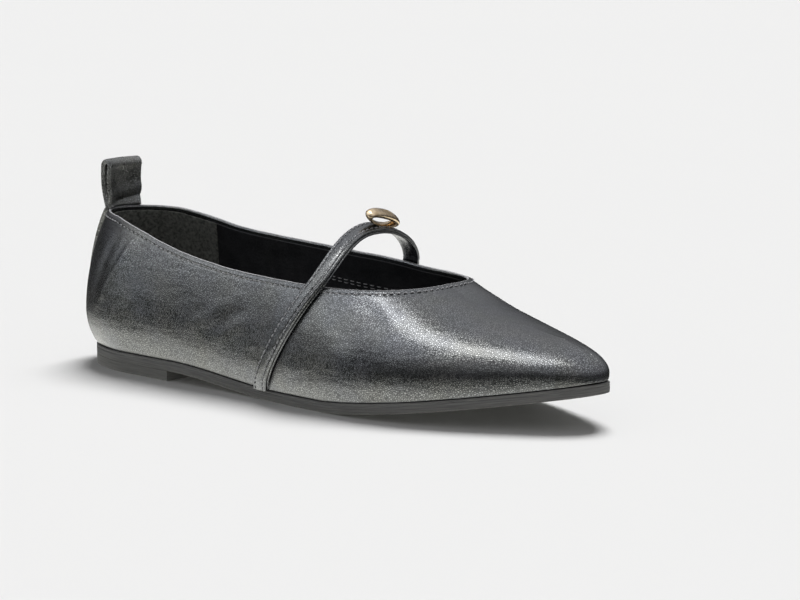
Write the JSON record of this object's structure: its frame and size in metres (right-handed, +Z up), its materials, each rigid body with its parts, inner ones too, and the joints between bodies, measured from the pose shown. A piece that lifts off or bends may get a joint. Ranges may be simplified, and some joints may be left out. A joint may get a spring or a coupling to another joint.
{
  "type": "ballet flat",
  "caption": "Pointed ballet flat for the right foot: hollow leather upper with an open collar, thin sole, low heel, instep strap with an oval ring and a heel pull tab.",
  "frame": {"origin": "middle of the heel's seat, on the floor under the shoe", "axes": "+X from the heel to the toe, +Y to the inner (medial) side, +Z up"},
  "size_m": [0.2595, 0.0802, 0.0838],
  "materials": {
    "upper_leather": "black pebbled leather, satin",
    "sole_rubber": "dark grey matte, finely lined edge",
    "heel_rubber": "dark grey matte",
    "insole_leather": "black smooth leather",
    "strap_leather": "black leather, satin, stitched edges",
    "ring_gold": "polished pale gold plating",
    "tab_leather": "black leather, folded"
  },
  "bodies": {
    "root": {"upper": "upper_leather", "outsole": "sole_rubber", "heel": "heel_rubber", "insole": "insole_leather", "strap": "strap_leather", "ring": "ring_gold", "pull_tab": "tab_leather"}
  },
  "joints": []
}
